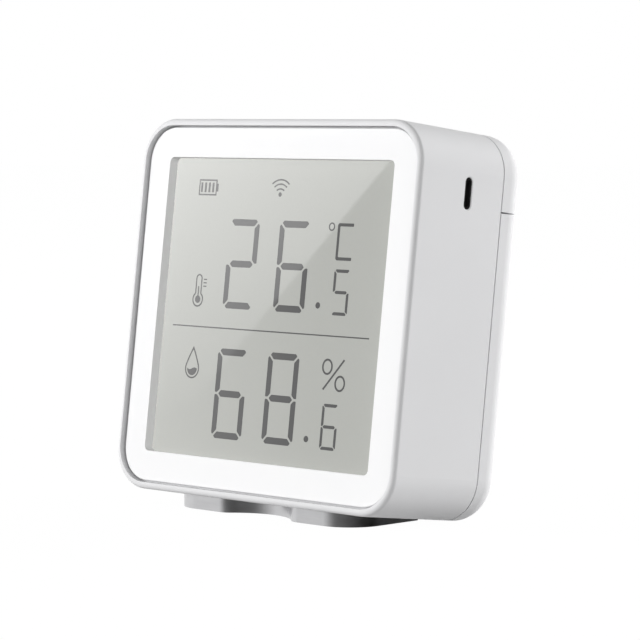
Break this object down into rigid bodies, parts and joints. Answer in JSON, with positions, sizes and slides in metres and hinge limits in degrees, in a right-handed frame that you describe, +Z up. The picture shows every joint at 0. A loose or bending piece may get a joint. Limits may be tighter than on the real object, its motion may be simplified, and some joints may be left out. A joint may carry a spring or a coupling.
{
  "type": "temperature humidity sensor",
  "caption": "Tabletop temperature and humidity sensor with a segment display, battery door, pairing button and fold-out tilt foot.",
  "frame": {"origin": "centre of the device's footprint on the surface that it stands on", "axes": "+Z up from the surface, -Y towards the viewer of the display, +X to the viewer's right; the housing leans back 7.25 degrees"},
  "size_m": [0.074, 0.0372, 0.0745],
  "materials": {
    "housing_white": "satin moulded plastic",
    "panel_white": "satin moulded plastic",
    "display_film": "smooth film",
    "display_glass": "clear glass",
    "reflector_film": "grey reflective film",
    "frame_plastic": "moulded plastic",
    "strip_rubber": "silicone with conductive layers",
    "board_green": "solder mask",
    "screw_steel": "zinc plated",
    "chip_black": "moulded package",
    "can_steel": "tinned steel",
    "capacitor_ceramic": "fired ceramic",
    "radio_board_blue": "solder mask",
    "track_brass": "gold-plated track",
    "gasket_foam": "closed-cell foam",
    "header_black": "moulded",
    "cell_sleeve": "printed sleeve",
    "spring_steel": "nickel plated wire",
    "contact_nickel": "nickel plated",
    "foot_grey": "satin grey",
    "pin_steel": "ground",
    "button_grey": "satin",
    "switch_black": "moulded",
    "switch_cap": "moulded"
  },
  "bodies": {
    "housing": {"main_housing": "housing_white", "front_panel": "panel_white", "front_polariser": "display_film", "front_glass": "display_glass", "rear_glass": "display_glass", "rear_reflector": "reflector_film", "display_frame": "frame_plastic", "contact_strip": "strip_rubber", "main_board": "board_green", "board_screws": "screw_steel", "controller_chip": "chip_black", "crystal": "can_steel", "capacitors": "capacitor_ceramic", "radio_board": "radio_board_blue", "radio_shield": "can_steel", "radio_antenna": "track_brass", "sensor_board": "board_green", "sensor_chip": "chip_black", "sensor_gasket": "gasket_foam", "sensor_header": "header_black", "rear_cover": "housing_white", "cover_screws": "screw_steel", "upper_cell": "cell_sleeve", "lower_cell": "cell_sleeve", "upper_cell_spring": "spring_steel", "lower_cell_spring": "spring_steel", "link_contact": "contact_nickel", "positive_contact": "contact_nickel", "negative_contact": "contact_nickel", "foot_hinge_pin": "pin_steel", "switch_body": "switch_black"},
    "battery_door": {"battery_door": "housing_white"},
    "tilt_foot": {"tilt_foot": "foot_grey"},
    "pairing_button": {"pairing_button": "button_grey", "switch_plunger": "switch_cap"}
  },
  "joints": [
    {"name": "door_slide", "type": "slide", "parent": "housing", "child": "battery_door", "axis": [0, 0.992, -0.1262], "range_m": [0, 0.02]},
    {"name": "foot_fold", "type": "hinge", "parent": "housing", "child": "tilt_foot", "pos_m": [0, 0.00075, 0.00272], "axis": [-1, 0, 0], "range_deg": [0, 7.25]},
    {"name": "button_press", "type": "slide", "parent": "housing", "child": "pairing_button", "axis": [0, -0.992, 0.1262], "range_m": [0, 0.0005], "stiffness_N_per_m": 1000, "springref_m": -0.0005}
  ]
}
